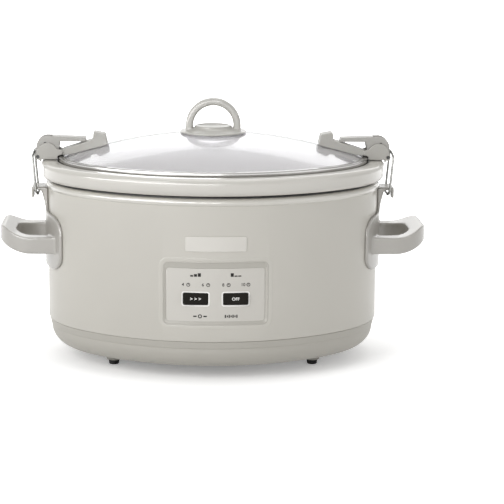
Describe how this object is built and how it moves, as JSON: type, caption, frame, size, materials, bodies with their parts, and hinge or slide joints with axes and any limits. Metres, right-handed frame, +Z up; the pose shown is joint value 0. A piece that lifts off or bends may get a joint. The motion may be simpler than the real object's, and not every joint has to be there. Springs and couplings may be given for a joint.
{
  "type": "slow cooker",
  "caption": "Oval countertop slow cooker with a lift-out stoneware crock, side carry handles, push-button panel and a glass lid held by over-centre wire latches.",
  "frame": {"origin": "on the floor, under the centre of the oval", "axes": "+Z up, +X along the oval's length to the right-hand handle, -Y to the control panel"},
  "size_m": [0.4394, 0.276, 0.269],
  "materials": {
    "painted_steel": "smooth satin enamel, warm pale grey",
    "base_plastic": "moulded, fine satin, a shade darker",
    "handle_plastic": "moulded, satin",
    "bezel_plastic": "moulded, satin",
    "panel_film": "semi-gloss printed film",
    "button_plastic": "black, semi-gloss",
    "stoneware": "glazed, warm off-white",
    "clear_glass": "clear tempered",
    "lid_steel": "polished band",
    "silicone": "matt, translucent grey",
    "latch_plastic": "moulded, satin",
    "lever_plastic": "moulded, satin, lighter",
    "wire_steel": "bright drawn wire",
    "black_rubber": "matt",
    "pan_metal": "pressed sheet, stoved with dark heat-proof enamel",
    "heater_mica": "mica sheet band",
    "glass_fibre": "felted fibre blanket",
    "circuit_board": "solder mask",
    "screw_steel": "zinc plated",
    "led_resin": "clear amber resin"
  },
  "bodies": {
    "base": {"housing_wrap": "painted_steel", "base_pan": "base_plastic", "rubber_feet": "black_rubber", "base_screws": "screw_steel", "heating_pan": "pan_metal", "heater_band": "heater_mica", "insulation_wrap": "glass_fibre", "pan_bolt": "screw_steel", "pan_nut": "screw_steel", "thermal_fuse": "screw_steel", "control_bezel": "bezel_plastic", "control_panel": "panel_film", "control_board": "circuit_board", "tact_switches": "button_plastic", "indicator_leds": "led_resin", "power_board": "circuit_board", "cord_gland": "black_rubber", "handle_left": "handle_plastic", "handle_right": "handle_plastic", "handle_screws": "screw_steel"},
    "select_button": {"button_select": "button_plastic"},
    "off_button": {"button_off": "button_plastic"},
    "crock": {"crock": "stoneware"},
    "lid": {"lid_glass": "clear_glass", "lid_rim": "lid_steel", "lid_gasket": "silicone", "lid_handle": "handle_plastic", "lid_handle_washer": "black_rubber", "lid_handle_screw": "screw_steel", "latch_base_left": "latch_plastic", "latch_base_right": "latch_plastic", "latch_pads": "black_rubber", "latch_screws": "screw_steel", "lever_pins": "screw_steel"},
    "lever_left": {"latch_lever_left": "lever_plastic"},
    "lever_right": {"latch_lever_right": "lever_plastic"},
    "bail_left": {"latch_bail_left": "wire_steel"},
    "bail_right": {"latch_bail_right": "wire_steel"}
  },
  "joints": [
    {"name": "crock_lift", "type": "slide", "parent": "base", "child": "crock", "axis": [0, 0, 1], "range_m": [0, 0.16]},
    {"name": "lid_lift", "type": "slide", "parent": "crock", "child": "lid", "axis": [0, 0, 1], "range_m": [0, 0.12]},
    {"name": "select_press", "type": "slide", "parent": "base", "child": "select_button", "axis": [0, 1, 0], "range_m": [0, 0.0008], "stiffness_N_per_m": 600},
    {"name": "off_press", "type": "slide", "parent": "base", "child": "off_button", "axis": [0, 1, 0], "range_m": [0, 0.0008], "stiffness_N_per_m": 600},
    {"name": "lever_left", "type": "hinge", "parent": "lid", "child": "lever_left", "pos_m": [-0.1808, 0, 0.2086], "axis": [0, -1, 0], "range_deg": [0, 115]},
    {"name": "bail_left", "type": "hinge", "parent": "lever_left", "child": "bail_left", "pos_m": [-0.1732, 0, 0.2222], "axis": [0, -1, 0], "range_deg": [-86, 0]},
    {"name": "lever_right", "type": "hinge", "parent": "lid", "child": "lever_right", "pos_m": [0.1808, 0, 0.2086], "axis": [0, 1, 0], "range_deg": [0, 115]},
    {"name": "bail_right", "type": "hinge", "parent": "lever_right", "child": "bail_right", "pos_m": [0.1732, 0, 0.2222], "axis": [0, 1, 0], "range_deg": [-86, 0]}
  ],
  "couplings": [
    {"joint": "bail_left", "follows": "lever_left", "ratio": -0.74},
    {"joint": "bail_right", "follows": "lever_right", "ratio": -0.74}
  ]
}
